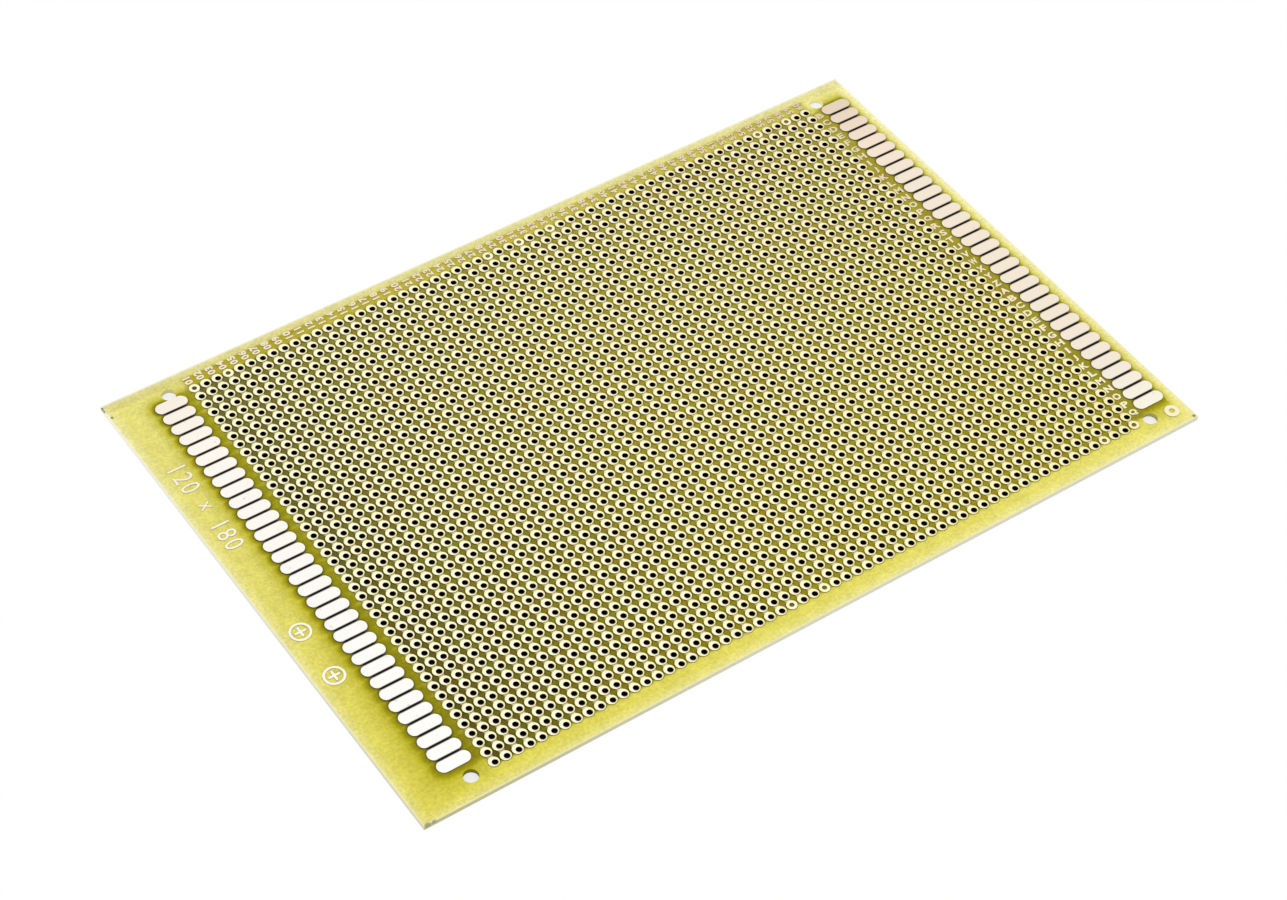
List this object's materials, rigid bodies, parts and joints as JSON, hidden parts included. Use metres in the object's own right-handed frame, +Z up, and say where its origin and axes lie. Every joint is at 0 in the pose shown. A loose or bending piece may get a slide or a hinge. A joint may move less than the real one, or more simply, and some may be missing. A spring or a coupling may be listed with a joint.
{
  "type": "prototype board",
  "caption": "Flat rectangular prototyping board of drilled laminate, with a grid of ring solder pads and a column of edge contacts at each short side.",
  "frame": {"origin": "centre of the underside of the bare laminate", "axes": "+X along the long edge, from column 01 to the last column; +Y to the long edge behind row 01; +Z up through the copper side"},
  "size_m": [0.18, 0.12, 0.0011],
  "materials": {
    "laminate": "satin",
    "solder": "satin"
  },
  "bodies": {
    "root": {"laminate": "laminate", "left_contacts": "solder", "right_contacts": "solder", "corner_ring": "solder", "pad_row_01": "solder", "pad_row_02": "solder", "pad_row_03": "solder", "pad_row_04": "solder", "pad_row_05": "solder", "pad_row_06": "solder", "pad_row_07": "solder", "pad_row_08": "solder", "pad_row_09": "solder", "pad_row_10": "solder", "pad_row_11": "solder", "pad_row_12": "solder", "pad_row_13": "solder", "pad_row_14": "solder", "pad_row_15": "solder", "pad_row_16": "solder", "pad_row_17": "solder", "pad_row_18": "solder", "pad_row_19": "solder", "pad_row_20": "solder", "pad_row_21": "solder", "pad_row_22": "solder", "pad_row_23": "solder", "pad_row_24": "solder", "pad_row_25": "solder", "pad_row_26": "solder", "pad_row_27": "solder", "pad_row_28": "solder", "pad_row_29": "solder", "pad_row_30": "solder", "pad_row_31": "solder", "pad_row_32": "solder", "pad_row_33": "solder", "pad_row_34": "solder", "pad_row_35": "solder", "pad_row_36": "solder", "pad_row_37": "solder", "pad_row_38": "solder", "pad_row_39": "solder", "pad_row_40": "solder", "pad_row_41": "solder", "pad_row_42": "solder", "pad_row_43": "solder", "pad_row_44": "solder"}
  },
  "joints": []
}
